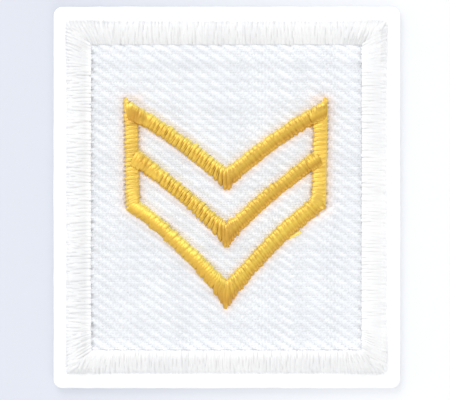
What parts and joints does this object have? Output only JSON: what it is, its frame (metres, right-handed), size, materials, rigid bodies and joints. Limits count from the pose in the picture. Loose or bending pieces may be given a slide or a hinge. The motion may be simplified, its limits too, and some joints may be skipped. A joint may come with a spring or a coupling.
{
  "type": "rank chevron patch on a plain backing",
  "caption": "Small embroidered rank patch: gold satin chevrons joined by side bars on white twill, inside a raised white satin border, on a plain white backing that shows as a rim.",
  "frame": {"origin": "middle of the backing's underside, on the surface that the patch lies on", "axes": "+X to the right of the patch seen from its face, +Y towards its top, +Z out of its face"},
  "size_m": [0.035, 0.0384, 0.0026],
  "materials": {
    "backing_felt": "plain white felt, matt",
    "ground_twill": "cool white cotton twill, matt",
    "white_thread": "white satin stitching, soft sheen",
    "gold_thread": "gold yellow satin stitching, soft sheen"
  },
  "bodies": {
    "root": {"backing": "backing_felt", "ground": "ground_twill", "border": "white_thread", "left_bar": "gold_thread", "right_bar": "gold_thread", "top_chevron": "gold_thread", "middle_chevron": "gold_thread", "bottom_chevron": "gold_thread"}
  },
  "joints": []
}
